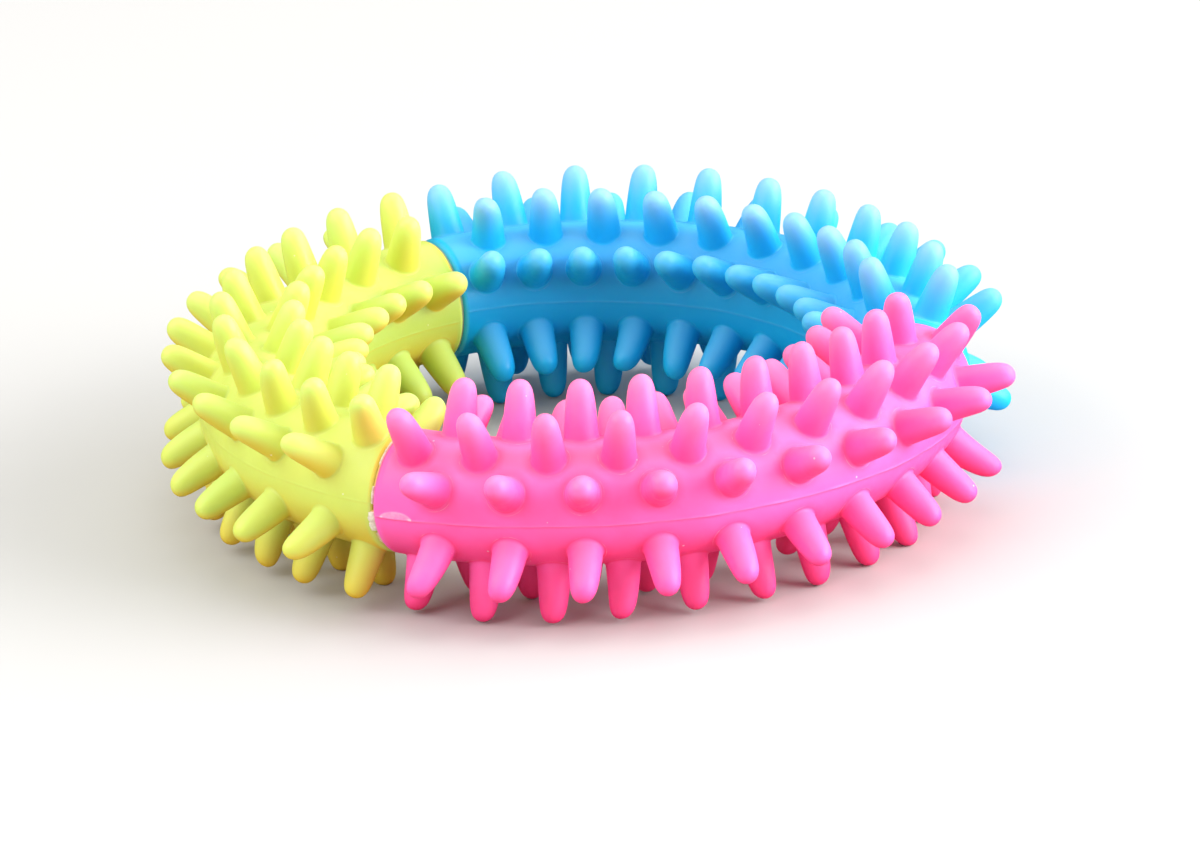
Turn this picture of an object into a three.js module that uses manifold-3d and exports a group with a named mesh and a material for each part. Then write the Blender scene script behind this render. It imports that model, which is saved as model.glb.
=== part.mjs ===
// Spiky chew ring: three moulded arcs in three colours, plugged and glued end to end.
// Millimetres, +Z up. The origin lies on the resting plane, under the ring's centre.
import * as THREE from "three";
import { mergeVertices } from "three/addons/utils/BufferGeometryUtils.js";
import Module from "manifold-3d";

// ---- ring ----
const RING_RADIUS = 45.5; // centre of the ring to the axis of the tube
const TUBE_RADIUS = 8.7;
const RING_HEIGHT = 15.9; // tube axis above the resting plane
const ARC_STEPS = 11;
// The round section as a polygon with one side under each row of spikes and a narrow side along each parting line.
// Its corners stand at CORNER_RADIUS, which gives it the area of a circle of TUBE_RADIUS.
const CORNER_ANGLES = [-10, 10, 47.5, 86, 128, 169, 191, 232, 274, 312.5];
const CORNER_RADIUS =
  TUBE_RADIUS *
  Math.sqrt(
    (2 * Math.PI) /
      CORNER_ANGLES.reduce((sum, a, i) => {
        const next = i + 1 < CORNER_ANGLES.length ? CORNER_ANGLES[i + 1] : 350;
        return sum + Math.sin(((next - a) * Math.PI) / 180);
      }, 0),
  );

// ---- arcs ----
const ARC_SPAN = 120; // degrees
const END_GAP = 0.5; // end face to the joint's middle plane, measured on the tube axis
const RIM_ROUND = 0.9; // rounded rim of each end face
const RIM_STEPS = 2;

// ---- spikes ----
const SPIKE_SIDES = 6;
const SPIKE_ROOT = 6.3; // start of the cone, inside the tube, from the tube axis
const SPIKE_SHOULDER = 15.0; // end of the straight taper, from the tube axis
const SPIKE_TIP = 16.5; // tip, from the tube axis
const SPIKE_ROOT_RADIUS = 2.95;
const SPIKE_SHOULDER_RADIUS = 1.89;
const SPIKE_TIP_RADIUS = 1.05;
// Each row's angle around the tube, where 0 points away from the ring's centre and 90 points up,
// and its pitch in degrees along the ring. The rows of ten stand between the spikes of the rows of eleven.
const SPIKE_ROWS = [
  { angle: 30, count: 10, pitch: 11.2 },
  { angle: 65.5, count: 11, pitch: 11.05 },
  { angle: 106.5, count: 10, pitch: 11.2 },
  { angle: 148, count: 11, pitch: 10.7 },
  { angle: -30, count: 10, pitch: 11.2 },
  { angle: -65.5, count: 11, pitch: 11.05 },
  { angle: -106.5, count: 10, pitch: 11.2 },
  { angle: -148, count: 11, pitch: 10.7 },
];

// ---- plug and socket at each joint ----
const PLUG_RADIUS = 3.0;
const PLUG_REACH = 5.4; // past the joint's middle plane
const PLUG_CHAMFER = 0.6;
const PLUG_ROOT = 3.0; // sunk into its own arc
const PLUG_SIDES = 12;
const SOCKET_RADIUS = 3.45;
const SOCKET_DEPTH = 6.0; // past the joint's middle plane

// ---- dried adhesive ----
const GLUE_HALF = 0.2; // half the film's thickness
const GLUE_INNER = 3.6;
const GLUE_OUTER = 7.75;
const BEAD_RADIUS = 8.4; // bottom of the groove between two rims, filled up to here
const BEAD_HALF = 0.3;
const GLUE_SIDES = 16;
// Blobs pressed out of the front joint: angle around the tube, distance from its axis, radius.
const GLUE_BLOBS = [
  { angle: -6, reach: 8.47, radius: 0.5 },
  { angle: -12, reach: 8.53, radius: 0.52 },
  { angle: -19, reach: 8.5, radius: 0.5 },
  { angle: -27, reach: 8.45, radius: 0.46 },
  { angle: -35, reach: 8.41, radius: 0.42 },
];

// ---- the three arcs: middle of each arc around the ring, its small twist about the tube axis there,
// how much that twist grows from the middle to the forward end, and how much it grows from the middle to both ends ----
const ARCS = [
  {
    name: "pink_arc",
    middle: -60,
    twist: -4.2,
    twistGrowth: -6.0,
    twistBow: -6.9,
    color: 0xff5cb4,
  },
  {
    name: "blue_arc",
    middle: 60,
    twist: 2.6,
    twistGrowth: -2.4,
    twistBow: -3.3,
    color: 0x45b4f5,
  },
  {
    name: "yellow_arc",
    middle: 180,
    twist: 4.5,
    twistGrowth: 0.8,
    twistBow: 0.9,
    color: 0xe4f244,
  },
];
const JOINTS = [
  { name: "glue_seam_pink_blue", angle: 0, blobs: [] },
  { name: "glue_seam_blue_yellow", angle: 120, blobs: [] },
  { name: "glue_seam_yellow_pink", angle: 240, blobs: GLUE_BLOBS },
];

const FLATNESS = 0.002; // facets this close to one plane count as one face

const wasm = await Module();
wasm.setup();

const rad = THREE.MathUtils.degToRad;

// A closed three.js geometry as a solid.
function solid(geometry) {
  const g = geometry.clone();
  g.deleteAttribute("normal");
  g.deleteAttribute("uv");
  const merged = mergeVertices(g, 1e-4);
  return new wasm.Manifold(
    new wasm.Mesh({
      numProp: 3,
      vertProperties: new Float32Array(merged.attributes.position.array),
      triVerts: new Uint32Array(merged.index.array),
      tolerance: FLATNESS,
    }),
  );
}

// A solid as a three.js geometry with flat-shaded normals.
function geometryOf(made) {
  const m = made.getMesh();
  const g = new THREE.BufferGeometry();
  g.setAttribute(
    "position",
    new THREE.BufferAttribute(new Float32Array(m.vertProperties), 3),
  );
  g.setIndex(new THREE.BufferAttribute(new Uint32Array(m.triVerts), 1));
  const flat = g.toNonIndexed();
  flat.computeVertexNormals();
  return flat;
}

// Unit vectors at an angle around the ring: away from the centre, and along the ring.
const outward = (phi) => new THREE.Vector3(Math.cos(phi), Math.sin(phi), 0);
const along = (phi) => new THREE.Vector3(-Math.sin(phi), Math.cos(phi), 0);
const up = new THREE.Vector3(0, 0, 1);

// Puts a shape turned about Y onto the tube axis at phi, with its Y axis along the ring.
function onJoint(geometry, phi) {
  const m = new THREE.Matrix4().makeBasis(
    up.clone(),
    along(phi),
    outward(phi).negate(),
  );
  m.setPosition(outward(phi).multiplyScalar(RING_RADIUS));
  return geometry.clone().applyMatrix4(m);
}

// The tube of one arc: a round section with rounded end rims, extruded straight and then twisted and bent round the ring.
function tube(twistAt) {
  const half = rad(ARC_SPAN / 2) - END_GAP / RING_RADIUS;
  const length = 2 * half * RING_RADIUS;
  const section = new THREE.Shape(
    CORNER_ANGLES.map((a) =>
      new THREE.Vector2(CORNER_RADIUS, 0).rotateAround(
        new THREE.Vector2(),
        rad(a),
      ),
    ),
  );
  const g = new THREE.ExtrudeGeometry(section, {
    depth: length - 2 * RIM_ROUND,
    steps: ARC_STEPS,
    bevelEnabled: true,
    bevelThickness: RIM_ROUND,
    bevelSize: RIM_ROUND,
    bevelOffset: -RIM_ROUND,
    bevelSegments: RIM_STEPS,
  });
  const p = g.attributes.position;
  for (let i = 0; i < p.count; i++) {
    const phi = half - (p.getZ(i) + RIM_ROUND) / RING_RADIUS;
    const at = new THREE.Vector2(p.getX(i), p.getY(i)).rotateAround(
      new THREE.Vector2(),
      twistAt(phi),
    );
    const reach = RING_RADIUS + at.x;
    p.setXYZ(i, reach * Math.cos(phi), reach * Math.sin(phi), at.y);
  }
  return solid(g);
}

const spikeShape = new THREE.LatheGeometry(
  [
    new THREE.Vector2(0, SPIKE_ROOT),
    new THREE.Vector2(SPIKE_ROOT_RADIUS, SPIKE_ROOT),
    new THREE.Vector2(SPIKE_SHOULDER_RADIUS, SPIKE_SHOULDER),
    new THREE.Vector2(SPIKE_TIP_RADIUS, SPIKE_TIP),
    new THREE.Vector2(0, SPIKE_TIP),
  ],
  SPIKE_SIDES,
);

// One spike at phi along the ring and theta around the tube, with its Y axis pointing away from the tube axis.
function spike(phi, theta) {
  const out = outward(phi);
  const dir = out
    .clone()
    .multiplyScalar(Math.cos(theta))
    .addScaledVector(up, Math.sin(theta));
  const side = along(phi);
  const m = new THREE.Matrix4().makeBasis(
    side,
    dir,
    new THREE.Vector3().crossVectors(side, dir),
  );
  m.setPosition(out.multiplyScalar(RING_RADIUS));
  return solid(spikeShape.clone().applyMatrix4(m));
}

const plugShape = new THREE.LatheGeometry(
  [
    new THREE.Vector2(0, -PLUG_ROOT),
    new THREE.Vector2(PLUG_RADIUS, -PLUG_ROOT),
    new THREE.Vector2(PLUG_RADIUS, PLUG_REACH - PLUG_CHAMFER),
    new THREE.Vector2(PLUG_RADIUS - PLUG_CHAMFER, PLUG_REACH),
    new THREE.Vector2(0, PLUG_REACH),
  ],
  PLUG_SIDES,
);
const socketShape = new THREE.LatheGeometry(
  [
    new THREE.Vector2(0, -2),
    new THREE.Vector2(SOCKET_RADIUS, -2),
    new THREE.Vector2(SOCKET_RADIUS, SOCKET_DEPTH),
    new THREE.Vector2(0, SOCKET_DEPTH),
  ],
  PLUG_SIDES,
);
const below = solid(
  new THREE.BoxGeometry(400, 400, 20).translate(0, 0, -RING_HEIGHT - 10),
);

// One arc, centred on +X: tube, spikes, a plug at its forward end and a socket at its other end.
function arc({ twist, twistGrowth, twistBow }) {
  const half = rad(ARC_SPAN / 2);
  const twistAt = (phi) => {
    const u = phi / half;
    return rad(twist + twistGrowth * u + twistBow * u * u);
  };
  let body = tube(twistAt);
  for (const row of SPIKE_ROWS)
    for (let i = 0; i < row.count; i++) {
      const phi = rad((i - (row.count - 1) / 2) * row.pitch);
      body = body.add(spike(phi, rad(row.angle) + twistAt(phi)));
    }
  body = body
    .subtract(solid(onJoint(socketShape, -half)))
    .add(solid(onJoint(plugShape, half)));
  return body.subtract(below); // the lowest tips bear on the resting plane with small flats
}

// The film between two end faces, a ring around the plug, with the bead that lies in the groove.
const glueShape = new THREE.LatheGeometry(
  [
    new THREE.Vector2(GLUE_INNER, -GLUE_HALF),
    new THREE.Vector2(GLUE_OUTER, -GLUE_HALF),
    new THREE.Vector2(BEAD_RADIUS, -BEAD_HALF),
    new THREE.Vector2(BEAD_RADIUS, BEAD_HALF),
    new THREE.Vector2(GLUE_OUTER, GLUE_HALF),
    new THREE.Vector2(GLUE_INNER, GLUE_HALF),
    new THREE.Vector2(GLUE_INNER, -GLUE_HALF),
  ],
  GLUE_SIDES,
);
function glue(phi, blobs) {
  let made = solid(onJoint(glueShape, phi));
  for (const b of blobs) {
    const at = outward(phi)
      .multiplyScalar(RING_RADIUS + b.reach * Math.cos(rad(b.angle)))
      .addScaledVector(up, b.reach * Math.sin(rad(b.angle)));
    made = made.add(
      solid(
        new THREE.SphereGeometry(b.radius, 8, 6).translate(at.x, at.y, at.z),
      ),
    );
  }
  return made;
}

const ring = new THREE.Group();
ring.position.z = RING_HEIGHT;
for (const a of ARCS) {
  const mesh = new THREE.Mesh(
    geometryOf(arc(a)),
    new THREE.MeshStandardMaterial({
      color: a.color,
      roughness: 0.48,
      metalness: 0,
    }),
  );
  mesh.name = a.name;
  mesh.rotation.z = rad(a.middle);
  ring.add(mesh);
}
for (const j of JOINTS) {
  const mesh = new THREE.Mesh(
    geometryOf(glue(0, j.blobs)),
    new THREE.MeshStandardMaterial({
      color: 0xe9e2cf,
      roughness: 0.6,
      metalness: 0,
    }),
  );
  mesh.name = j.name;
  mesh.rotation.z = rad(j.angle);
  ring.add(mesh);
}

const part = new THREE.Group();
part.add(ring);
export default part;
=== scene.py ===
import math

import bpy
import numpy as np
from mathutils import Matrix, Vector
from mathutils.geometry import delaunay_2d_cdt


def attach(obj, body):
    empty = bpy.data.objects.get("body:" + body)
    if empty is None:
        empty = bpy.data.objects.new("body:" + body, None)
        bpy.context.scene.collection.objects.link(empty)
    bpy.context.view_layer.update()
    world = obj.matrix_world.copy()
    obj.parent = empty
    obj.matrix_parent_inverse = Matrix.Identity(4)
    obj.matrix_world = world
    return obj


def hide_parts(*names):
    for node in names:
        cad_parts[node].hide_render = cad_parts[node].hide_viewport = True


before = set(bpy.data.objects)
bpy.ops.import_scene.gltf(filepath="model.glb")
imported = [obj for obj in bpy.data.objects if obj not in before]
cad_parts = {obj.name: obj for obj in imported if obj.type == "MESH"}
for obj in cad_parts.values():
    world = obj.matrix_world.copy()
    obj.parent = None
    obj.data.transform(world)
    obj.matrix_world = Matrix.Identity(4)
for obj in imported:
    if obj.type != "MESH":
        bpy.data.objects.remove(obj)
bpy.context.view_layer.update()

# Spiky chew ring: three soft rubber arcs with moulded spikes, glued end to end.
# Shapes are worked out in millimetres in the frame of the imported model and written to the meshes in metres.
MM = 0.001
RING = 45.5  # ring centre to tube axis
TUBE = 8.7  # radius of the tube
HEIGHT = 15.9  # tube axis above the resting plane
HALF_SPAN = math.radians(60)
END_GAP = 0.12  # end face to the joint's middle plane
RIM = 0.8  # rounding of each end rim
SPIKE_TIP = 16.5  # from the tube axis
ROWS = [  # angle around the tube, spikes in the row, pitch along the ring in degrees
    (30, 10, 11.2),
    (65.5, 11, 11.05),
    (106.5, 10, 11.2),
    (148, 11, 10.7),
    (-30, 10, 11.2),
    (-65.5, 11, 11.05),
    (-106.5, 10, 11.2),
    (-148, 11, 10.7),
]
# A spike's side: distance below its tip, radius.
PROFILE = np.array(
    [
        (0.0, 0.0),
        (0.03, 0.32),
        (0.10, 0.57),
        (0.24, 0.87),
        (0.48, 1.18),
        (0.85, 1.47),
        (1.40, 1.71),
        (2.10, 1.88),
        (3.00, 2.01),
        (4.00, 2.12),
        (5.20, 2.23),
        (6.40, 2.33),
        (7.60, 2.42),
        (9.00, 2.52),
    ]
)
AROUND = 32  # points around a spike
FOOT = 0.3  # how far a spike's foot flares out on the tube
FOOT_UP = 0.45  # how far the flare climbs
FOOT_LINE = (0.10, 0.17, 0.24)  # fine raised line around each foot, left by the mould: start, crest and end past the flare
GATE_AT, GATE_HALF, GATE_TALL = 3.45, 2.45, 1.0
# Ends that do not stop at a plain 60 degrees: (arc, end) with how far it reaches on and its rim's rounding.
FRONT_SHIFT = 0.3
ENDS = {("pink_arc", -1): (FRONT_SHIFT, 0.5), ("yellow_arc", 1): (-FRONT_SHIFT, 0.5)}
LINE_TALL = {"pink_arc": 1.0, "blue_arc": 0.7, "yellow_arc": 0.45}  # how far the parting line stands out  # gate mark: from the end of the arc, half its length, its height
ARCS = {  # middle of the arc, twist about the tube axis there, its growth to the forward end and to both ends, seed of small irregularities
    "pink_arc": (-60.0, -4.2, -6.0, -6.9, 11),
    "blue_arc": (60.0, 2.6, -2.4, -3.3, 12),
    "yellow_arc": (180.0, 4.5, 0.8, 0.9, 13),
}
# Soft spikes lean a little. For each arc and row: spike number, its tip's shift in mm along the ring and around the tube,
# and how much longer it is. Spikes not listed lean at random.
LEANS = {
    "pink_arc": {
        0: {
            0: (-0.85, -0.05, 0.03), 1: (-0.19, 0.19, 0.01), 2: (0.04, -0.3, -0), 3: (-0.44, -0.22, -0.01),
            4: (-0.59, 0.45, -0.02), 5: (-0.53, 0.04, -0.03), 6: (-0.49, 0.06, -0.04), 7: (-0.01, -0.03, 0),
            8: (-0.35, -0.33, -0.05), 9: (-0.25, -0.16, -0.06),
        },
        1: {
            0: (-0.85, 0.2, 0.06), 1: (-0.73, 0.38, 0.05), 2: (-0.04, 0.5, 0.04), 3: (0.3, 0.66, 0.05),
            4: (0.85, 0.47, 0.06), 5: (1.04, 0.3, 0.08), 6: (1.04, 0.06, 0.08), 7: (0.93, 0.14, 0.1),
            8: (0.83, -0.33, 0.1), 9: (0.31, -0.31, 0.05), 10: (-1.55, 0.39, -0.4),
        },
        2: {
            0: (0.31, 0.21, 0.04), 1: (-0.04, 0.37, 0.27), 2: (0.07, 0.3, 0.24), 3: (0.36, 0.34, 0.29),
            4: (0.55, 0.1, 0.18), 5: (0.66, -0.13, 0.11), 6: (0.41, -0.11, 0.08), 7: (-0.1, -0.21, -0.07),
            8: (-0.57, -0.6, -0.21), 9: (-1.54, -0.42, -0.4),
        },
        3: {
            0: (0.92, -0.07, 0.08), 2: (0.46, -0.21, 0.03), 3: (0.43, -0.52, 0.06), 4: (0.27, -0.31, 0.03),
            6: (0.1, -0.18, 0.02), 7: (0.59, -0.05, -0.13),
        },
        4: {
            0: (-1.16, -0.46, 0.13), 1: (-0.58, -0.28, 0.05), 2: (-0.57, -0.39, 0.05), 3: (-0.25, -0.14, 0.01),
            4: (-0.38, 0.13, -0.04), 5: (-0.37, 0.71, -0.14), 6: (-0.1, 0.45, -0.1), 7: (-0.35, 0.42, -0.24),
            8: (0.17, 0.38, -0.11), 9: (-0.05, 1.6, 0.3),
        },
        5: {
            0: (-0.67, -0.22, -0.4), 1: (-0.18, 0.09, 0.21), 2: (-0.27, 0.02, 0.09), 3: (-0.76, -0.05, -0.16),
            4: (-0.06, -0.06, -0.36), 5: (0.32, 0.1, -0.09), 6: (-0.34, -0.06, 0.13), 7: (0.02, 0.34, 0.11),
            8: (-0.51, 1.39, 0.3),
        },
    },
    "blue_arc": {
        1: {
            3: (0.02, 0.36, -0.19), 4: (-0, 0.1, -0.15), 5: (0.13, 0.07, -0.09), 6: (-0.04, 0.09, 0.2),
            7: (-0.22, 0.29, 0.3), 8: (-0.1, 0.42, 0.3), 9: (0.49, 0.37, 0.3), 10: (-0.07, -0.25, -0.19),
        },
        2: {
            4: (-0.14, 0.69, -0.08), 5: (0.03, 0.62, -0.06), 6: (0.07, 0.62, -0.07), 7: (0.11, 0.47, -0.05),
            8: (0.34, 0.1, -0.02), 9: (1, 1.02, -0.17),
        },
        3: {
            0: (0.23, 0.03, 0.08), 1: (0.43, -0.06, 0.08), 2: (0.8, -0.06, 0.11), 3: (0.77, -0.12, 0.08),
            4: (0.39, -0.06, 0.03), 5: (0.18, -0.41, 0.01), 6: (0.13, -0.2, 0.01), 7: (0.03, -0.39, 0.01),
            8: (0.09, -0.09, 0), 9: (0, 0.06, -0), 10: (1.02, -0.26, -0.03),
        },
        7: {
            7: (0.95, -0.7, -0.05), 8: (0.54, -0.25, -0.03), 9: (-0.13, -0.14, -0.01), 10: (0.16, 0.49, 0.04),
        },
    },
    "yellow_arc": {
        0: {
            2: (0.45, -0.25, 0.08), 3: (-0.1, 0.01, -0.07), 4: (0.06, 0.2, -0.28), 5: (0.47, 0.23, -0.22),
            6: (-0.12, -0.02, 0.03), 7: (-0.67, 0.03, 0.1), 8: (-1.06, -0.3, 0.11), 9: (-1.58, -0.26, 0.18),
        },
        1: {
            0: (-0.11, 0.09, -0.09), 1: (-0.15, 0.16, -0.04), 2: (-0.01, 0.36, -0.18), 8: (1.41, 0.37, -0.19),
            9: (1.37, -0.1, -0.17), 10: (1.2, -1.06, -0.21),
        },
        3: {
            0: (-0.25, -0.07, 0.01), 1: (-0.07, -0.38, 0.01), 2: (-0.24, -0.14, 0.02), 3: (-0.97, 0.33, 0.14),
            4: (-0.61, 0.52, 0.15), 5: (-0.43, 0.79, 0.24),
        },
        4: {
            5: (-0.5, -0.76, -0.4), 6: (0.33, -0.54, -0.36), 7: (0.61, 0.13, -0.27), 8: (0.16, 0.19, -0.06),
            9: (-0.89, 0.3, 0.07),
        },
        5: {
            8: (0.23, -0.94, -0.33), 9: (-0.02, -0.05, -0.4), 10: (0.13, 0.45, -0.4),
        },
    },
}


def twist_at(name, phi):
    _, twist, growth, bow, _ = ARCS[name]
    u = phi / HALF_SPAN
    return np.radians(twist + growth * u + bow * u * u)


def radius_at(below_tip):
    return np.interp(below_tip, PROFILE[:, 0], PROFILE[:, 1])


def on_tube(phi, theta, r):
    """Points of the tube in an arc's own frame: phi along the ring, theta around the tube (0 outward, 90 degrees up), r from the tube axis."""
    q = RING + r * np.cos(theta)
    return np.stack(
        [q * np.cos(phi), q * np.sin(phi), r * np.sin(theta) + 0 * phi], -1
    )


def waves(points, seed, size, count=14):
    """A smooth irregular field between about -1 and 1, from sines of random directions with wavelengths around size."""
    rng = np.random.default_rng(seed)
    out = np.zeros(len(points))
    for _ in range(count):
        d = rng.normal(size=3)
        d *= 2 * math.pi / (np.linalg.norm(d) * size * rng.uniform(0.7, 1.6))
        out += np.sin(points @ d + rng.uniform(0, 2 * math.pi))
    return out / math.sqrt(count / 2) * 0.6


class Sheet:
    """Gathers vertices with their values and faces with their places on the bake map."""

    NAMES = ("tip", "crease", "scar", "tone", "line", "ring", "inner")

    def __init__(self):
        self.points, self.values, self.count = [], [], 0
        self.faces, self.places = [], []

    def add(self, points, **values):
        n = len(points)
        self.points.append(np.asarray(points, float))
        self.values.append(
            np.stack([np.broadcast_to(values.get(k, 0.0), n) for k in self.NAMES], 1)
        )
        self.count += n
        return np.arange(self.count - n, self.count)

    def face(self, corners, places):
        self.faces.append([int(c) for c in corners])
        self.places.append(places)

    def band(self, low, high, u, v_low, v_high, cell):
        """Quads between two closed rings of equal length, facing out when the rings run anticlockwise seen from the high one."""
        n = len(low)
        x, y, w, h = cell
        for k in range(n):
            m = (k + 1) % n
            a, b = x + w * u[k], x + w * u[k + 1]
            c, d = y + h * v_low, y + h * v_high
            self.face(
                (low[k], low[m], high[m], high[k]), ((a, c), (b, c), (b, d), (a, d))
            )

    def fan(self, ring, apex, u, v_ring, v_apex, cell):
        n = len(ring)
        x, y, w, h = cell
        for k in range(n):
            a, b = x + w * u[k], x + w * u[k + 1]
            self.face(
                (ring[k], ring[(k + 1) % n], apex),
                (
                    (a, y + h * v_ring),
                    (b, y + h * v_ring),
                    ((a + b) / 2, y + h * v_apex),
                ),
            )


def spikes_of(name):
    """Every spike of an arc: place along the ring, angle around the tube, small lean, length and tone."""
    rng = np.random.default_rng(ARCS[name][4])
    found = []
    for row, (angle, count, pitch) in enumerate(ROWS):
        for i in range(count):
            phi = math.radians((i - (count - 1) / 2) * pitch)
            chance = (*rng.normal(0, 0.28, 2), rng.normal(0, 0.06))
            tone = rng.uniform(0, 1)
            along, around, longer = LEANS[name].get(row, {}).get(i, chance)
            theta = math.radians(angle) + float(twist_at(name, phi))
            found.append((phi, theta, (along, around), longer, tone))
    return found


def tube_height(base, axis, side, across, rho, alpha):
    """Height above the tube axis, along a spike's axis, at which a line beside that axis leaves the tube."""
    lateral = (
        np.multiply.outer(np.cos(alpha), side) + np.multiply.outer(np.sin(alpha), across)
    ) * np.reshape(rho, (-1, 1))
    h = np.full(len(lateral), TUBE)
    for _ in range(8):
        p = base + lateral + h[:, None] * axis
        flat = np.hypot(p[:, 0], p[:, 1])
        f = (flat - RING) ** 2 + p[:, 2] ** 2 - TUBE**2
        df = 2 * (flat - RING) * (p[:, :2] @ axis[:2]) / flat + 2 * p[:, 2] * axis[2]
        h -= f / df
    return h, lateral


def relief(phi, theta, tall):
    """Radial relief of the tube's skin in mm, with masks of the parting line and the gate mark. theta is the arc's own angle, without its twist."""
    wrapped = (theta + math.pi / 2) % math.pi - math.pi / 2  # distance from 0 or 180
    outer = np.cos(theta) > 0
    d = wrapped * TUBE * np.where(outer, 1.0, -1.0)
    wander = 0.05 * np.sin(phi * 9 + 0.6) + 0.03 * np.sin(phi * 23 + 2.0)
    t = d - wander
    swell = 1 + 0.35 * np.sin(phi * 31 + 1.0) + 0.25 * np.sin(phi * 67)
    line = np.exp(-((t / 0.17) ** 2))
    lift = tall * (0.085 * line * swell + 0.03 * np.tanh(t / 0.12) * np.exp(-((t / 1.2) ** 2)))
    # The gate mark: a half-moon pad on the line, where the rubber was fed in and trimmed off.
    along = (phi + HALF_SPAN) * (RING + TUBE) - GATE_AT
    a = along / GATE_HALF
    top = GATE_TALL * np.clip(1 - a * a, 0, 1) ** 0.62 * (1 + 0.06 * a) - 0.03
    on_pad = outer & (np.abs(a) < 1)
    scar = np.clip(np.minimum(d + 0.10, top - d) / 0.22, 0, 1) * on_pad
    scar = scar * scar * (3 - 2 * scar)
    lip = np.exp(-(((top - d - 0.06) / 0.13) ** 2)) * on_pad * (d > -0.1)
    ends = np.exp(-(((np.abs(a) - 0.9) / 0.1) ** 2)) * np.exp(-(((d - 0.06) / 0.14) ** 2)) * on_pad
    lift = lift * (1 - 0.6 * scar) + scar * (
        0.035 + 0.015 * np.sin(along * 5.1) * np.cos(d * 9.0 + along * 2.0)
    )
    lift = lift + 0.03 * lip + 0.03 * ends
    clear = 1 + 0.9 * outer * np.exp(-np.clip(along - GATE_HALF, 0, None) / 5.0)
    return lift, line * (1 - scar) * clear, np.clip(0.40 * scar + 0.38 * lip + 0.7 * ends, 0, 1)


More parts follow.
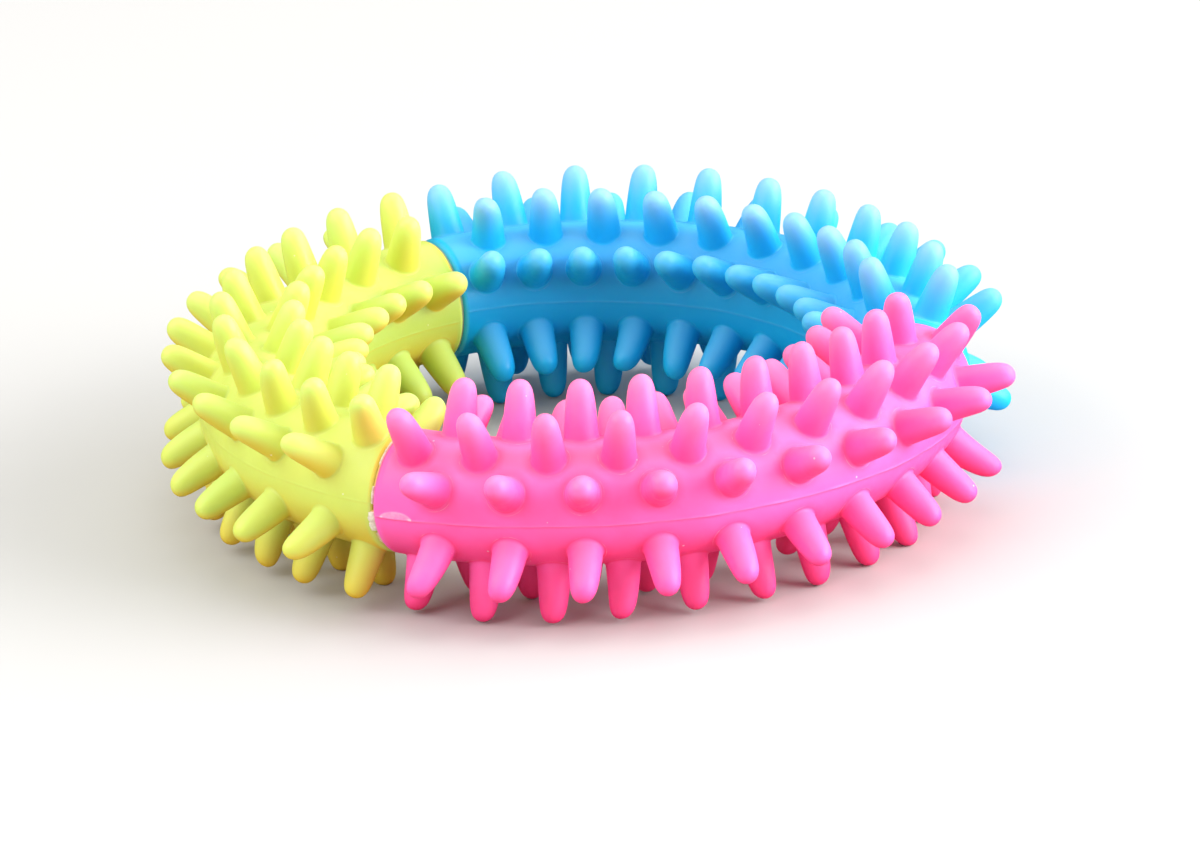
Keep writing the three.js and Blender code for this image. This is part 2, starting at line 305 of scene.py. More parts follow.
def arc_mesh(name):
    middle, seed = ARCS[name][0], ARCS[name][4]
    s = Sheet()
    spikes = spikes_of(name)
    alpha = np.arange(AROUND) * 2 * math.pi / AROUND
    turns = np.arange(AROUND + 1) / AROUND
    reach_on, rims = zip(*(ENDS.get((name, sign), (0.0, RIM)) for sign in (-1, 1)), strict=True)
    low = -HALF_SPAN + (END_GAP + rims[0] - reach_on[0]) / RING  # where the end roundings start
    high = HALF_SPAN - (END_GAP + rims[1] - reach_on[1]) / RING
    rng = np.random.default_rng(seed + 50)

    # ---- feet of the spikes on the tube, each with the fine line around it ----
    feet = []
    for phi, theta, lean, longer, tone in spikes:
        out = np.array([math.cos(phi), math.sin(phi), 0.0])
        side = np.array([-math.sin(phi), math.cos(phi), 0.0])
        axis = math.cos(theta) * out + math.sin(theta) * np.array([0, 0, 1.0])
        across = np.cross(axis, side)
        base = RING * out
        h_wall, _ = tube_height(base, axis, side, across, np.full(AROUND, 2.44), alpha)
        wall = radius_at(SPIKE_TIP - h_wall)
        rho = wall + FOOT
        loops = []
        for more in (0.0, *FOOT_LINE):
            h, lateral = tube_height(base, axis, side, across, rho + more, alpha)
            loop = base + lateral + h[:, None] * axis
            loop_phi = np.arctan2(loop[:, 1], loop[:, 0])
            loop_theta = np.arctan2(
                loop[:, 2], np.hypot(loop[:, 0], loop[:, 1]) - RING
            ) - twist_at(name, loop_phi)
            loop_theta = (loop_theta + math.pi) % (2 * math.pi) - math.pi
            loops.append((h, loop_phi, loop_theta))
        feet.append((base, axis, side, across, wall, h_wall, rho, loops))

    # ---- the skin between the feet, laid out flat and triangulated ----
    half = math.pi * TUBE
    near = [0.0, 0.09, 0.18, 0.3, 0.48, 0.8]
    mid = np.linspace(1.3, half - 1.3, 39)
    rows = np.array([*near, *mid, *[half - x for x in near[::-1]]]) / TUBE
    rows = np.concatenate([-rows[:0:-1], rows])  # -180 to 180 degrees
    cols = np.linspace(low, high, 153)
    grid_phi, grid_theta = (x.ravel() for x in np.meshgrid(cols, rows))
    frame_edge = (np.abs(grid_phi - low) < 1e-9) | (np.abs(grid_phi - high) < 1e-9) | (
        np.abs(np.abs(grid_theta) - math.pi) < 1e-9
    )
    keep = np.ones(len(grid_phi), bool)
    own = []  # each spike's angle around the tube in the arc's own frame
    for (phi, theta, *_), foot in zip(spikes, feet, strict=True):
        _, lp, lt = foot[7][-1]
        local = (theta - float(twist_at(name, phi)) + math.pi) % (2 * math.pi) - math.pi
        own.append(local)
        scale = RING + TUBE * math.cos(theta)
        dp = (grid_phi - phi) * scale
        dt = (grid_theta - local) * TUBE
        reach = np.hypot((lp - phi) * scale, (lt - local) * TUBE)
        spin = np.arctan2(dt, dp) % (2 * math.pi)
        angles = np.arctan2((lt - local) * TUBE, (lp - phi) * scale) % (2 * math.pi)
        order = np.argsort(angles)
        limit = np.interp(spin, angles[order], reach[order], period=2 * math.pi)
        keep &= (np.hypot(dp, dt) > limit + 0.24) | frame_edge
    # A finer patch under the gate mark.
    gate_phi = -HALF_SPAN + GATE_AT / (RING + TUBE)
    in_gate = (
        (np.abs(grid_phi - gate_phi) * (RING + TUBE) < GATE_HALF + 0.4)
        & (grid_theta * TUBE > -0.55)
        & (grid_theta * TUBE < GATE_TALL + 0.35)
    )
    keep &= ~in_gate | frame_edge
    fine_phi, fine_theta = (
        x.ravel()
        for x in np.meshgrid(
            gate_phi
            + np.linspace(-GATE_HALF - 0.3, GATE_HALF + 0.3, 47) / (RING + TUBE),
            np.linspace(-0.45, GATE_TALL + 0.25, 23) / TUBE,
        )
    )
    inner = fine_phi > low + 0.12 / RING
    flat_phi = [grid_phi[keep], fine_phi[inner]]
    flat_theta = [grid_theta[keep], fine_theta[inner]]
    start = sum(map(len, flat_phi))
    edges, loop_of = [], [-1] * start
    raised, ring_line = [np.zeros(start)], [np.zeros(start)]
    first_loop = []
    for i, foot in enumerate(feet):
        first_loop.append(start)
        # The line is broken: it shows on some sides of a foot and fades on others.
        shown = np.clip(
            0.15
            + 0.6 * np.sin(alpha + rng.uniform(0, 6.3))
            + 0.45 * np.sin(alpha * 3 + rng.uniform(0, 6.3)),
            0,
            1,
        )
        for j, (_, lp, lt) in enumerate(foot[7]):
            flat_phi.append(lp)
            flat_theta.append(lt)
            edges += [(start + k, start + (k + 1) % AROUND) for k in range(AROUND)]
            loop_of += [i if j == 0 else -1] * AROUND
            raised.append(0.004 + shown * 0.018 if j == 2 else np.zeros(AROUND))
            ring_line.append(shown if j == 2 else np.zeros(AROUND))
            start += AROUND
    flat_phi, flat_theta = np.concatenate(flat_phi), np.concatenate(flat_theta)
    raised, ring_line = np.concatenate(raised), np.concatenate(ring_line)
    loop_of = np.array(loop_of)
    plane = [
        Vector((a * RING, b * TUBE)) for a, b in zip(flat_phi, flat_theta, strict=True)
    ]
    made = delaunay_2d_cdt(plane, edges, [], 0, 1e-6, True)
    origin = [o[0] for o in made[3]]  # each point of the result as one of the points given
    tris = np.array([[origin[i] for i in f] for f in made[2]])
    p = np.stack([flat_phi * RING, flat_theta * TUBE], 1)[tris]
    turn = (p[:, 1, 0] - p[:, 0, 0]) * (p[:, 2, 1] - p[:, 0, 1]) - (
        p[:, 1, 1] - p[:, 0, 1]
    ) * (p[:, 2, 0] - p[:, 0, 0])
    tris[turn < 0] = tris[turn < 0][:, ::-1]
    same = (loop_of[tris[:, 0]] >= 0) & (loop_of[tris] == loop_of[tris[:, :1]]).all(1)
    tris = tris[~same & (np.abs(turn) > 1e-9)]

    lift, line, scar = relief(flat_phi, flat_theta, LINE_TALL[name])
    # Mask near each spike's foot, used for painted shade in the crease and for more dust specks there.
    crease = np.zeros(len(flat_phi))
    for (phi, theta, *_), local in zip(spikes, own, strict=True):
        d = np.hypot(
            (flat_phi - phi) * (RING + TUBE * math.cos(theta)),
            (flat_theta - local) * TUBE,
        )
        crease = np.maximum(crease, np.clip(1 - (d - 2.7) / 1.1, 0, 1))
    skin = s.add(
        on_tube(
            flat_phi, flat_theta + twist_at(name, flat_phi), TUBE + lift + raised
        ),
        crease=crease,
        scar=scar,
        line=line,
        ring=ring_line,
        tone=0.5,
        # mask for painted shade on the inner side of the tube
        inner=np.clip(-np.cos(flat_theta + twist_at(name, flat_phi)) * 1.3, 0, 1),
    )
    # The cut at 180 degrees is closed again.
    seam_high = np.flatnonzero(np.abs(flat_theta - math.pi) < 1e-9)
    seam_low = np.flatnonzero(np.abs(flat_theta + math.pi) < 1e-9)
    seam_high = seam_high[np.argsort(flat_phi[seam_high])]
    seam_low = seam_low[np.argsort(flat_phi[seam_low])]
    weld = skin.copy()
    weld[seam_high] = skin[seam_low]
    u = 0.006 + 0.988 * (flat_phi - low) / (high - low)
    v = 0.648 + 0.346 * (flat_theta + math.pi) / (2 * math.pi)
    for t in tris:
        s.face(weld[t], [(u[i], v[i]) for i in t])

    # ---- spikes ----
    for i, ((phi, theta, lean, longer, tone), foot) in enumerate(
        zip(spikes, feet, strict=True)
    ):
        base, axis, side, across, wall, h_wall, rho, loops = foot
        h_foot = loops[0][0]
        # Painted shade on spikes pointing inward, strongest on the lower inner row.
        inward_shade = max(0.0, -math.cos(theta)) * (1.0 if math.sin(theta) < 0 else 0.3)
        cell = (
            0.006 + 0.0825 * (i % 12),
            0.006 + 0.0757 * (i // 12),
            0.0795,
            0.0727,
        )
        spoke = np.multiply.outer(np.cos(alpha), side) + np.multiply.outer(
            np.sin(alpha), across
        )
        ring = weld[first_loop[i] + np.arange(AROUND)]
        h_top = h_wall + FOOT_UP
        r_top = radius_at(SPIKE_TIP - h_top)
        levels = []
        for t in (0.2, 0.4, 0.6, 0.8, 1.0):
            a, b, c = (1 - t) ** 2, 2 * t * (1 - t), t * t
            levels.append(
                (
                    a * rho + b * wall + c * r_top,
                    a * h_foot + b * h_wall + c * h_top,
                    0.02 + 0.1 * t,
                    1 - 0.75 * t,
                )
            )
        for below in (6.4, 5.2, 4.0, 3.0, 2.1, 1.4, 0.85, 0.48, 0.24, 0.1, 0.03):
            r = radius_at(below)
            h = SPIKE_TIP - below
            levels.append(
                (
                    np.full(AROUND, r),
                    np.full(AROUND, h),
                    0.12 + 0.86 * (1 - (below + 0.6 * (1.6 - min(r, 1.6))) / 7.9),
                    max(0.0, 0.25 - 0.25 * (7.3 - below) / 2),
                )
            )
        last_v = 0.0
        for r, h, v_next, creased in levels:
            rise = np.clip((h - 8.6) / (SPIKE_TIP - 8.6), 0, 1)
            stretch = longer * rise
            shift = lean[0] * side + lean[1] * across
            pts = (
                base
                + spoke * r[:, None]
                + (h + stretch)[:, None] * axis
                + (rise**1.7)[:, None] * shift
            )
            v_next = max(v_next, last_v + 0.004)
            nxt = s.add(pts, tip=rise, crease=creased, tone=tone, inner=inward_shade)
            s.band(ring, nxt, turns, last_v, v_next, cell)
            ring, last_v = nxt, v_next
        apex = s.add(
            (base + (SPIKE_TIP + longer) * axis + lean[0] * side + lean[1] * across)[
                None
            ],
            tip=1.0,
            tone=tone,
            inner=inward_shade,
        )[0]
        s.fan(ring, apex, turns, last_v, 1.0, cell)

    # ---- ends: rounded rim, flat face, and a plug at one end or a socket at the other ----
    for sign in (1, -1):
        edge, rim, on = (high, rims[1], reach_on[1]) if sign > 0 else (low, rims[0], reach_on[0])
        face = on - END_GAP
        border = np.flatnonzero(np.abs(flat_phi - edge) < 1e-9)
        border = border[np.argsort(flat_theta[border])]
        border = border[flat_theta[border] < math.pi - 1e-9]
        around = flat_theta[border]
        ring = weld[border]
        turns_end = np.arange(len(around) + 1) / len(around)
        # A pole-like ring of quads is laid on the bake map as a strip.
        cell = (0.006 if sign > 0 else 0.5, 0.545, 0.48, 0.092)
        joint = sign * HALF_SPAN
        twist = float(twist_at(name, joint))
        out = np.array([math.cos(joint), math.sin(joint), 0.0])
        fwd = sign * np.array([-math.sin(joint), math.cos(joint), 0.0])
        steps = []
        for a in np.radians([18, 36, 54, 72, 90]):
            steps.append(("rim", TUBE - rim * (1 - math.cos(a)), rim * math.sin(a)))
        steps += [("rim", r, rim) for r in (6.6, 5.2, 4.1)]
        if sign > 0:
            steps += [
                ("rod", 3.3, face),
                ("rod", 3.08, face + 0.1),
                ("rod", 3.0, face + 0.35),
                ("rod", 3.0, 2.5),
                ("rod", 3.0, 4.8),
                ("rod", 2.85, 5.15),
                ("rod", 2.4, 5.4),
                ("rod", 1.2, 5.4),
            ]
            close = 5.4
        else:
            steps += [
                ("rod", 3.75, face),
                ("rod", 3.5, face - 0.1),
                ("rod", 3.45, face - 0.3),
                ("rod", 3.45, -3.0),
                ("rod", 3.45, -5.7),
                ("rod", 3.2, -6.0),
                ("rod", 1.6, -6.0),
            ]
            close = -6.0
        last_v = 0.0
        for j, (kind, r, y) in enumerate(steps):
            if kind == "rim":
                at = np.full(len(around), edge + sign * y / RING)
                pts = on_tube(at, around + twist_at(name, at), r)
                if j < 3:
                    lift_end, line_end, _ = relief(
                        np.full(len(around), edge), around, LINE_TALL[name]
                    )
                    here = around + twist_at(name, at)
                    pts += (on_tube(at, here, 1.0) - on_tube(at, here, 0.0)) * (
                        lift_end * (0.8, 0.5, 0.2)[j]
                    )[:, None]
            else:
                pts = (
                    RING * out
                    + y * fwd
                    + r
                    * (
                        np.multiply.outer(np.cos(around + twist), out)
                        + np.multiply.outer(
                            np.sin(around + twist), np.array([0, 0, 1.0])
                        )
                    )
                )
            v_next = (j + 1) / (len(steps) + 1)
            nxt = s.add(pts, tone=0.5, line=(0.5, 0.8, 0.8, 0.5)[j] if j < 4 else 0.0)
            if sign > 0:
                s.band(nxt[::-1], ring[::-1], turns_end, v_next, last_v, cell)
            else:
                s.band(nxt, ring, turns_end, v_next, last_v, cell)
            ring, last_v = nxt, v_next
        centre = s.add((RING * out + close * fwd)[None], tone=0.5)[0]
        s.fan(
            ring if sign > 0 else ring[::-1], centre, turns_end, last_v, 1.0, cell
        )

    points = np.concatenate(s.points)
    # Slight unevenness of the soft moulding.
    push = waves(points, seed + 100, 11.0) * 0.045
    tube_phi = np.arctan2(points[:, 1], points[:, 0])
    centre = np.stack(
        [RING * np.cos(tube_phi), RING * np.sin(tube_phi), 0 * tube_phi], 1
    )
    away = points - centre
    away /= np.maximum(np.linalg.norm(away, axis=1), 1e-6)[:, None]
    points = points + away * push[:, None]
    points[:, 2] += HEIGHT
    points[:, 2] = np.maximum(points[:, 2], 0.0)  # the lowest tips bear flat
    turn = math.radians(middle)
    spin = np.array(
        [
            [math.cos(turn), -math.sin(turn), 0],
            [math.sin(turn), math.cos(turn), 0],
            [0, 0, 1],
        ]
    )
    return make_piece(name.replace("_arc", "_rubber_arc"), points @ spin.T, s)


def make_piece(name, points, s):
    used = np.zeros(len(points), bool)
    for f in s.faces:
        used[f] = True
    number = np.cumsum(used) - 1
    faces = [[int(number[i]) for i in f] for f in s.faces]
    mesh = bpy.data.meshes.new(name)
    mesh.from_pydata((points[used] * MM).tolist(), [], faces)
    values = np.concatenate(s.values)[used]
    for k, key in enumerate(Sheet.NAMES):
        layer = mesh.attributes.new(key, "FLOAT", "POINT")
        layer.data.foreach_set("value", values[:, k].astype(np.float32))
    uv = mesh.uv_layers.new(name="OFBake")
    uv.uv.foreach_set(
        "vector", np.array([c for f in s.places for c in f], np.float32).ravel()
    )
    mesh.polygons.foreach_set("use_smooth", np.ones(len(mesh.polygons), bool))
    mesh.set_sharp_from_angle(angle=math.radians(62))
    mesh.validate()
    mesh.update()
    facing = np.empty(len(mesh.vertices) * 3, np.float32)
    mesh.vertex_normals.foreach_get("vector", facing)
    layer = mesh.attributes.new("sky", "FLOAT", "POINT")
    layer.data.foreach_set("value", facing[2::3].copy())
    places = np.empty(len(mesh.vertices) * 3, np.float32)
    mesh.vertices.foreach_get("co", places)
    layer = mesh.attributes.new("high", "FLOAT", "POINT")
    layer.data.foreach_set("value", ((places[2::3] / MM - HEIGHT) / 12.0).astype(np.float32))
    obj = bpy.data.objects.new(name, mesh)
    bpy.context.scene.collection.objects.link(obj)
    return obj


# ---- dried adhesive in a joint ----
def glue_mesh(name, joint_deg, bead, seed, along=0.0, amber=0.0):
    """A film between two end faces and a bead in the groove between their rims. bead(degrees, rough, fine) gives the bead's top from the tube axis, half its width, its shift along the ring and how far it is pressed out."""
    s = Sheet()
    n = 480
    theta = np.arange(n) * 2 * math.pi / n - math.pi
    rng = np.random.default_rng(seed)
    rough = np.zeros(n)
    for k in range(3, 60):
        rough += rng.normal() * np.sin(k * theta + rng.uniform(0, 6.3)) / k**0.6
    rough /= np.abs(rough).max()
    fine = np.zeros(n)
    for k in range(40, 150, 3):
        fine += rng.normal() * np.sin(k * theta + rng.uniform(0, 6.3))
    fine /= np.abs(fine).max()
    top, wide, lean, up = bead(np.degrees(theta), rough, fine)
    section = [  # share of the way from the film's inner edge to the bead's top, half width
        (0.0, 0.1),
        (0.5, 0.1),
        (0.88, 0.1),
    ]
    rings = []
    for side in (-1, 1):
        cols = []
        for share, half in section:
            r = 3.65 + (TUBE - 4.65) * share / 0.88
            cols.append((np.full(n, r), np.full(n, side * half)))
        for share, grow in ((0.0, 0.45), (0.35, 0.85), (0.65, 1.0), (0.87, 0.78)):
            r = TUBE - 0.85 + (top - TUBE + 0.85) * share
            cols.append((r, side * wide * grow + lean * share))
        rings.append(cols)
    path = rings[0] + [(top, lean)] + rings[1][::-1]
    joint = math.radians(joint_deg)
    out = np.array([math.cos(joint), math.sin(joint), 0.0])
    fwd = np.array([-math.sin(joint), math.cos(joint), 0.0])
    up_axis = np.array([0, 0, 1.0])
    made = []
    for r, y in path:
        pts = (
            RING * out
            + np.multiply.outer(y + along, fwd)
            + np.multiply.outer(r * np.cos(theta), out)
            + np.multiply.outer(r * np.sin(theta), up_axis)
        )
        pts[:, 2] += HEIGHT
        made.append(s.add(pts, tip=up, tone=amber))
    turns = np.arange(n + 1) / n
    m = len(made)
    for j in range(m):
        s.band(
            made[j],
            made[(j + 1) % m],
            turns,
            j / m,
            (j + 1) / m,
            (0.005, 0.005, 0.99, 0.99),
        )
    points = np.concatenate(s.points)
    points = points + 0.012 * np.stack(
        [waves(points, seed + q, 0.9) for q in (1, 2, 3)], 1
    )
    return make_piece(name, points, s)


def plateau(d, low, high, soft):
    """1 between two angles, falling to 0 over soft degrees outside them."""
    return np.clip(1 - np.maximum(low - d, d - high) / soft, 0, 1)


def tight_joint(d, rough, fine):
    """The rims close on each other: the adhesive stays deep in the groove."""
    return TUBE - 0.5 + 0.04 * rough, 0.2 + 0.02 * rough, 0 * d, 0 * d


def front_joint(d, rough, fine):
    """From the top down: a thin cream strip, a bare gap, a sliver, a small hole, a crust pressed out over one rim and a film below it."""
    lumps = np.clip(0.5 + 0.7 * rough, 0, 1)
    strip = plateau(d, 45, 92, 4)
    sliver = plateau(d, 6, 21, 2)
    hole = plateau(d, 0, 3, 1.5) + plateau(d, -26, -24.5, 1)
    crust = plateau(d, -22.5, -3, 1.4)
    dip = np.exp(-(((d + 12.3) / 1.3) ** 2))
    film = plateau(d, -40, -22, 5) * (1 - crust)
    top = TUBE - 0.42 + 0.03 * rough - 0.33 * hole
    top = top + strip * (0.18 + 0.04 * fine) + sliver * (0.28 + 0.04 * fine)
    top = top + crust * (0.44 + 0.12 * lumps + 0.05 * fine - 0.08 * dip) + film * (0.14 + 0.1 * lumps + 0.04 * fine)
    grows = 0.26 + 0.2 * np.clip(-d / 20, 0, 1)
    wide = 0.18 + 0.02 * strip * rough + crust * (grows + 0.06 * lumps + 0.03 * fine - 0.03 * dip) + film * 0.12
    lean = crust * (-0.30 - 0.22 * np.clip(-d / 20, 0, 1)) - 0.16 * film - 0.14 * sliver - 0.08 * strip
    return top, wide, lean, np.maximum.reduce([crust, 0.45 * film, 0.8 * sliver, 0.8 * strip])


# ---- materials ----
class Nodes:
    def __init__(self, name):
        self.material = bpy.data.materials.new(name)
        self.material.use_nodes = True
        self.tree = self.material.node_tree
        self.tree.nodes.clear()
        self.out = self.new("ShaderNodeOutputMaterial")
        self.bsdf = self.new("ShaderNodeBsdfPrincipled")
        self.link(self.bsdf.outputs["BSDF"], self.out.inputs["Surface"])
        self.coords = self.new("ShaderNodeTexCoord").outputs["Object"]

    def new(self, kind, **settings):
        node = self.tree.nodes.new(kind)
        for k, v in settings.items():
            setattr(node, k, v)
        return node

    def link(self, a, b):
        self.tree.links.new(a, b)

    def put(self, socket, value):
        if isinstance(value, bpy.types.NodeSocket):
            self.link(value, socket)
        else:
            socket.default_value = value

    def noise(self, size_mm, detail=2.0, rough=0.5, distortion=0.0):
        n = self.new("ShaderNodeTexNoise")
        self.link(self.coords, n.inputs["Vector"])
        n.inputs["Scale"].default_value = 1000.0 / size_mm
        n.inputs["Detail"].default_value = detail
        n.inputs["Roughness"].default_value = rough
        n.inputs["Distortion"].default_value = distortion
        return n.outputs["Fac"]

    def spots(self, size_mm):
        n = self.new("ShaderNodeTexVoronoi")
        self.link(self.coords, n.inputs["Vector"])
        n.inputs["Scale"].default_value = 1000.0 / size_mm
        return n.outputs["Distance"], n.outputs["Color"]

    def value(self, name):
        n = self.new("ShaderNodeAttribute", attribute_name=name)
        return n.outputs["Fac"]

    def span(self, fac, lo, hi, to_lo=0.0, to_hi=1.0, smooth=True):
        n = self.new("ShaderNodeMapRange")
        n.interpolation_type = "SMOOTHSTEP" if smooth else "LINEAR"
        self.put(n.inputs["Value"], fac)
        n.inputs["From Min"].default_value = lo
        n.inputs["From Max"].default_value = hi
        n.inputs["To Min"].default_value = to_lo
        n.inputs["To Max"].default_value = to_hi
        return n.outputs["Result"]

    def math(self, op, a, b=0.0):
        n = self.new("ShaderNodeMath", operation=op)
        self.put(n.inputs[0], a)
        self.put(n.inputs[1], b)
        return n.outputs[0]

    def mix(self, fac, a, b, blend="MIX"):
        n = self.new("ShaderNodeMix", data_type="RGBA", blend_type=blend)
        self.put(n.inputs["Factor"], fac)
        for key, val in (("A", a), ("B", b)):
            socket = next(
                i for i in n.inputs if i.name == key and i.type == "RGBA"
            )
            self.put(socket, val if isinstance(val, bpy.types.NodeSocket) else (*val, 1.0))
        return next(o for o in n.outputs if o.type == "RGBA")

    def bump(self, height, strength, distance_mm, normal=None):
        n = self.new("ShaderNodeBump")
        n.inputs["Strength"].default_value = strength
        n.inputs["Distance"].default_value = distance_mm * MM
        self.link(height, n.inputs["Height"])
        if normal is not None:
            self.link(normal, n.inputs["Normal"])
        return n.outputs["Normal"]


def rubber(name, *, body, deep, pale, inner_shade_colour, glow, inner_shade, below, low, above, tip_highlight, lift, lined, footed, creased, mottled, dust, shine, depth):
    """Soft satin rubber: body colour, a deeper tone for random mottling and for painted shade in creases, underneath
    and low on the ring, a paler one for painted highlights on tips and on faces turned up, a colour for painted shade
    on the inner side, and the colour light takes within it.
    """
    m = Nodes(name)
    broad = m.span(m.noise(17.0, 3.0, 0.55), 0.32, 0.68)
    colour = m.mix(m.math("MULTIPLY", broad, mottled), body, deep)
    cloud = m.span(m.noise(3.2, 4.0, 0.6), 0.45, 0.75)
    colour = m.mix(m.math("MULTIPLY", cloud, 0.2), colour, tuple(min(1.0, 1.15 * c) for c in body))
    # Painted highlight: spike tips are mixed towards the pale colour, more on spikes high on the ring where light
    # falls.
    tips = m.span(m.value("tip"), 0.15, 1.0)
    tips = m.math("MULTIPLY", tips, m.span(m.value("high"), *lift))
    # Painted shade: the inner side of the tube and the inward spikes are mixed towards a darker colour.
    colour = m.mix(m.math("MULTIPLY", m.value("inner"), inner_shade), colour, inner_shade_colour)
    colour = m.mix(m.math("MULTIPLY", tips, tip_highlight), colour, pale)
    # Painted shade: faces turned down, and parts low on the ring, are mixed towards the deep colour; painted light:
    # faces turned up are mixed towards the pale colour.
    colour = m.mix(m.math("MULTIPLY", m.span(m.value("sky"), 0.1, -0.8), below), colour, deep)
    colour = m.mix(m.math("MULTIPLY", m.span(m.value("high"), -0.5, -1.25), low), colour, tuple(c**1.25 for c in deep))
    colour = m.mix(m.math("MULTIPLY", m.span(m.value("sky"), 0.3, 1.0), above), colour, pale)
    tone = m.span(m.value("tone"), 0.0, 1.0, smooth=False)
    colour = m.mix(m.math("MULTIPLY", tone, 0.12), colour, deep)
    # Painted shade in the crease where each spike's foot meets the tube.
    colour = m.mix(m.math("MULTIPLY", m.value("crease"), creased), colour, deep)
    colour = m.mix(m.math("MULTIPLY", m.value("line"), lined), colour, pale)
    ring = m.math("MULTIPLY", m.value("ring"), m.span(m.noise(1.1, 2.0), 0.35, 0.65, 0.0, footed))
    colour = m.mix(ring, colour, tuple(0.7 * c + 0.3 for c in pale))
    scar = m.math("MULTIPLY", m.value("scar"), m.span(m.noise(0.9, 3.0), 0.3, 0.65, 0.55, 1.0))
    whitish = tuple(0.45 * c + 0.55 * w for c, w in zip(pale, (1.0, 0.86, 0.9), strict=True))
    colour = m.mix(scar, colour, whitish)
    # Sparse pale specks of dust and lint that soft rubber picks up.
    near, which = m.spots(2.6)
    often = m.span(m.value("crease"), 0.0, 1.0, 1.0 - dust, 1.0 - 2.6 * dust)
    few = m.math("GREATER_THAN", m.new_split(which), often)
    speck = m.math("MULTIPLY", m.span(near, 0.075, 0.04), few)
    colour = m.mix(m.math("MULTIPLY", speck, 0.42), colour, (0.95, 0.9, 0.88))
    m.link(colour, m.bsdf.inputs["Base Color"])
    gloss = m.noise(1.4, 3.0, 0.6)
    wear = m.noise(9.0, 2.0, 0.5)
    rough = m.math("ADD", m.span(gloss, 0.3, 0.7, 0.40, 0.52), m.span(wear, 0.35, 0.65, -0.03, 0.05))
    rough = m.math("ADD", rough, m.math("MULTIPLY", m.value("scar"), 0.12))
    m.link(rough, m.bsdf.inputs["Roughness"])
    grain = m.bump(m.noise(0.34, 2.0, 0.6), 0.10, 0.05)
    soft = m.bump(m.noise(2.2, 3.0, 0.5), 0.16, 0.12, grain)
    raised = m.bump(speck, 0.5, 0.06, soft)
    m.link(raised, m.bsdf.inputs["Normal"])
    m.bsdf.inputs["IOR"].default_value = 1.48
    m.bsdf.inputs["Specular IOR Level"].default_value = shine
    m.bsdf.inputs["Subsurface Weight"].default_value = depth[0]
    m.bsdf.inputs["Subsurface Radius"].default_value = glow
    m.bsdf.inputs["Subsurface Scale"].default_value = depth[1] * MM
    return m.material


def split_red(self, colour):
    n = self.new("ShaderNodeSeparateColor")
    self.link(colour, n.inputs["Color"])
    return n.outputs["Red"]


Nodes.new_split = split_red


def dried_glue():
    m = Nodes("dried_glue")
    cloud = m.span(m.noise(0.8, 4.0, 0.6), 0.35, 0.7)
    colour = m.mix(cloud, (0.62, 0.51, 0.39), (0.82, 0.76, 0.65))
    colour = m.mix(m.span(m.noise(0.35, 3.0), 0.55, 0.8, 0.0, 0.4), colour, (0.90, 0.86, 0.79))
    # Deep in the groove it is thin and amber, pressed out it is thick and cloudy.
    thin = m.mix(m.value("tone"), (0.27, 0.33, 0.24), (0.72, 0.45, 0.13))
    colour = m.mix(m.span(m.value("tip"), 0.1, 0.75), thin, colour)
    m.link(colour, m.bsdf.inputs["Base Color"])
    m.link(m.span(m.noise(0.5, 3.0), 0.3, 0.7, 0.42, 0.7), m.bsdf.inputs["Roughness"])
    crust = m.bump(m.noise(0.28, 4.0, 0.65), 0.3, 0.06)
    m.link(m.bump(m.noise(0.9, 3.0, 0.6), 0.4, 0.15, crust), m.bsdf.inputs["Normal"])
    m.bsdf.inputs["Subsurface Weight"].default_value = 0.2
    m.bsdf.inputs["Subsurface Radius"].default_value = (1.0, 0.8, 0.6)
    m.bsdf.inputs["Subsurface Scale"].default_value = 0.6 * MM
    return m.material


pink = rubber(
    "pink_rubber", body=(0.97, 0.136, 0.493), deep=(0.98, 0.037, 0.160), pale=(1.0, 0.255, 0.455), inner_shade_colour=(0.96, 0.09, 0.36),
    glow=(1.0, 0.4, 0.65), inner_shade=0.2, below=0.6, low=0.55, above=0.4, tip_highlight=0.45, lift=(0.0, 1.0), lined=0.18, footed=0.5, creased=0.4, mottled=0.3, dust=0.26, shine=0.36, depth=(0.30, 2.4),
)
blue = rubber(
    "blue_rubber", body=(0.015, 0.450, 0.770), deep=(0.001, 0.37, 0.75), pale=(0.34, 0.50, 0.74), inner_shade_colour=(0.001, 0.310, 0.65),
    glow=(0.7, 0.9, 1.0), inner_shade=0.9, below=0.6, low=0.0, above=0.20, tip_highlight=0.64, lift=(0.3, 1.4), lined=0.08, footed=0.12, creased=0.3, mottled=0.3, dust=0.04, shine=0.33, depth=(0.40, 2.4),
)
yellow = rubber(
    "yellow_rubber", body=(0.562, 0.690, 0.133), deep=(0.85, 0.48, 0.012), pale=(0.515, 0.745, 0.220), inner_shade_colour=(0.39, 0.585, 0.095),
    glow=(1.0, 0.85, 0.3), inner_shade=0.75, below=0.62, low=0.45, above=0.35, tip_highlight=0.4, lift=(0.0, 1.0), lined=0.08, footed=0.3, creased=0.08, mottled=0.1, dust=0.12, shine=0.40, depth=(0.45, 2.8),
)
glue = dried_glue()

for node, material, slot in (
    ("pink_arc", pink, "pink_rubber"),
    ("blue_arc", blue, "blue_rubber"),
    ("yellow_arc", yellow, "yellow_rubber"),
):
    piece = arc_mesh(node)
    piece.data.materials.append(material)
    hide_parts(node)
    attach(piece, "root")

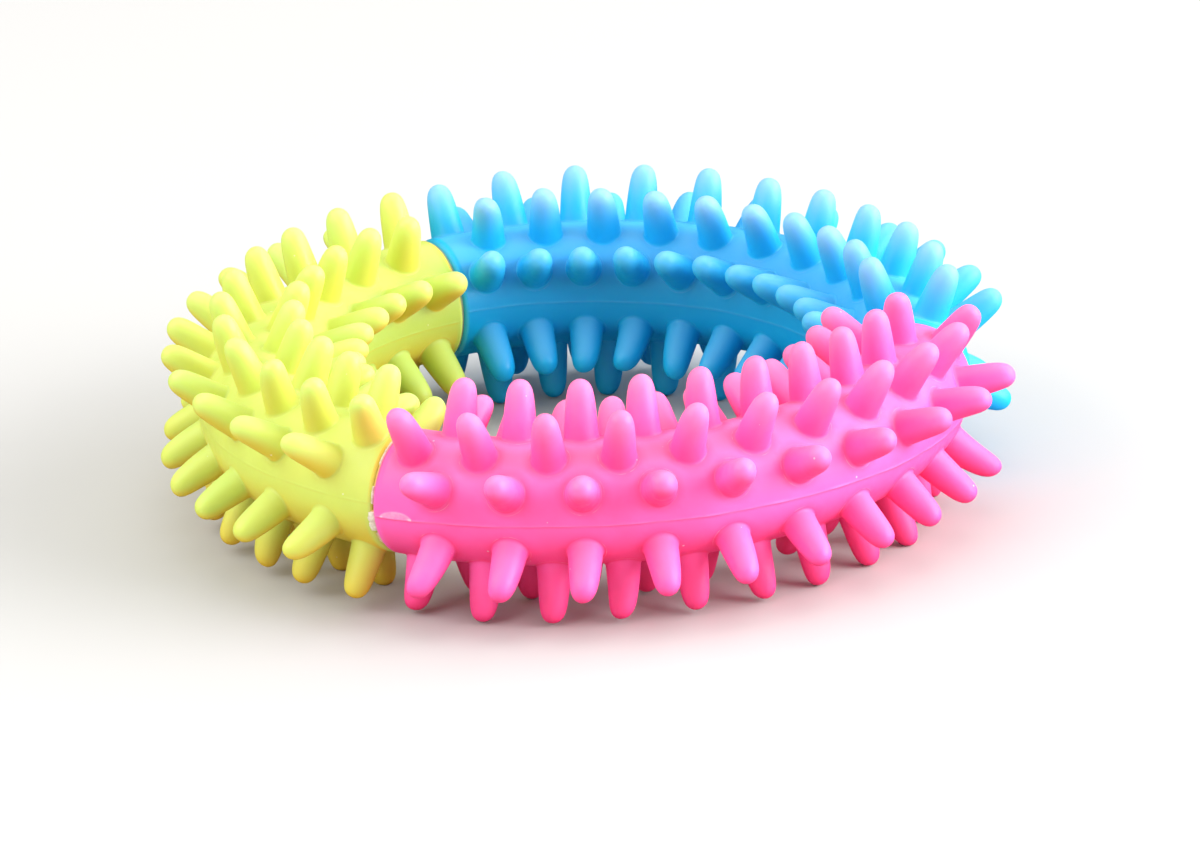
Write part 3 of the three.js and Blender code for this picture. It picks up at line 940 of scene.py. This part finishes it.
for node, angle, bead, seed, along in (
    ("glue_seam_pink_blue", 0.0, tight_joint, 31, 0.0),
    ("glue_seam_blue_yellow", 120.0, tight_joint, 41, 0.0),
    ("glue_seam_yellow_pink", 240.0, front_joint, 51, -FRONT_SHIFT),
):
    piece = glue_mesh(node.replace("glue_seam", "glue_bead"), angle, bead, seed, along, 1.0 if along else 0.0)
    piece.data.materials.append(glue)
    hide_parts(node)
    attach(piece, "root")

# ---- stage ----
floor_mesh = bpy.data.meshes.new("floor")
floor_mesh.from_pydata(
    [(-6, -6, -0.00004), (6, -6, -0.00004), (6, 6, -0.00004), (-6, 6, -0.00004)],
    [],
    [(0, 1, 2, 3)],
)
floor = bpy.data.objects.new("floor", floor_mesh)
bpy.context.scene.collection.objects.link(floor)
ground = Nodes("pale_floor")
ground.bsdf.inputs["Base Color"].default_value = (0.50, 0.50, 0.50, 1)
ground.bsdf.inputs["Roughness"].default_value = 0.9
ground.bsdf.inputs["Specular IOR Level"].default_value = 0.1
floor_mesh.materials.append(ground.material)
floor.visible_glossy = False

world = bpy.data.worlds.new("studio")
bpy.context.scene.world = world
world.use_nodes = True
world.node_tree.nodes["Background"].inputs["Color"].default_value = (1.0, 0.965, 0.91, 1)
world.node_tree.nodes["Background"].inputs["Strength"].default_value = 0.82
world.cycles_visibility.glossy = False


def softbox(name, turn, rise, reach, size, power, tint=(1, 1, 1)):
    """A soft rectangular lamp aimed at the ring: turn from the front towards the right and rise above the floor in degrees, distance in metres."""
    lamp = bpy.data.lights.new(name, "AREA")
    lamp.shape = "RECTANGLE"
    lamp.size, lamp.size_y = size
    lamp.energy = power
    lamp.color = tint
    obj = bpy.data.objects.new(name, lamp)
    a, b = math.radians(turn), math.radians(rise)
    way = Vector((math.sin(a) * math.cos(b), -math.cos(a) * math.cos(b), math.sin(b)))
    obj.location = Vector((0, 0, HEIGHT * MM)) + way * reach
    obj.rotation_mode = "QUATERNION"
    obj.rotation_quaternion = (-way).to_track_quat("-Z", "Y")
    bpy.context.scene.collection.objects.link(obj)


softbox("window", 71, 22, 1.0, (0.7, 0.7), 11.3)
softbox("right", 98, 22, 1.2, (1.4, 0.8), 15.5)
softbox("left", -68, 38, 1.2, (1.5, 0.8), 12.0)
softbox("overhead", 180, 80, 1.1, (1.0, 1.0), 4.5)

# ---- camera at the photograph's viewing angle ----
FOCAL_PX, FRAME_W = 10688.90, 1200
CAM_DISTANCE, CAM_RISE, CAM_ROLL = 33.0 * RING, 0.3488037, -0.0433411
CAM_AIM = Vector((0.0418434 * RING, 0.0, -0.1217443 * RING))
CAM_TURN = 0.0507878
back = Vector((0, -math.cos(CAM_RISE), math.sin(CAM_RISE)))
right = Vector((1, 0, 0))
up = Vector((0, math.sin(CAM_RISE), math.cos(CAM_RISE)))
cam_x = math.cos(CAM_ROLL) * right + math.sin(CAM_ROLL) * up
cam_y = -math.sin(CAM_ROLL) * right + math.cos(CAM_ROLL) * up
swing = Matrix.Rotation(CAM_TURN, 3, "Z")
place = (swing @ (CAM_AIM + back * CAM_DISTANCE) + Vector((0, 0, HEIGHT))) * MM
lens = bpy.data.cameras.new("camera")
lens.sensor_fit = "HORIZONTAL"
lens.sensor_width = 36.0
lens.lens = FOCAL_PX / FRAME_W * 36.0
lens.clip_start, lens.clip_end = 0.05, 50
camera = bpy.data.objects.new("camera", lens)
axes = [swing @ a for a in (cam_x, cam_y, back)]
matrix = Matrix([[axes[c][r] for c in range(3)] + [place[r]] for r in range(3)] + [[0, 0, 0, 1]])
camera.matrix_world = matrix
bpy.context.scene.collection.objects.link(camera)
bpy.context.scene.camera = camera
bpy.context.scene.view_settings.view_transform = "Standard"
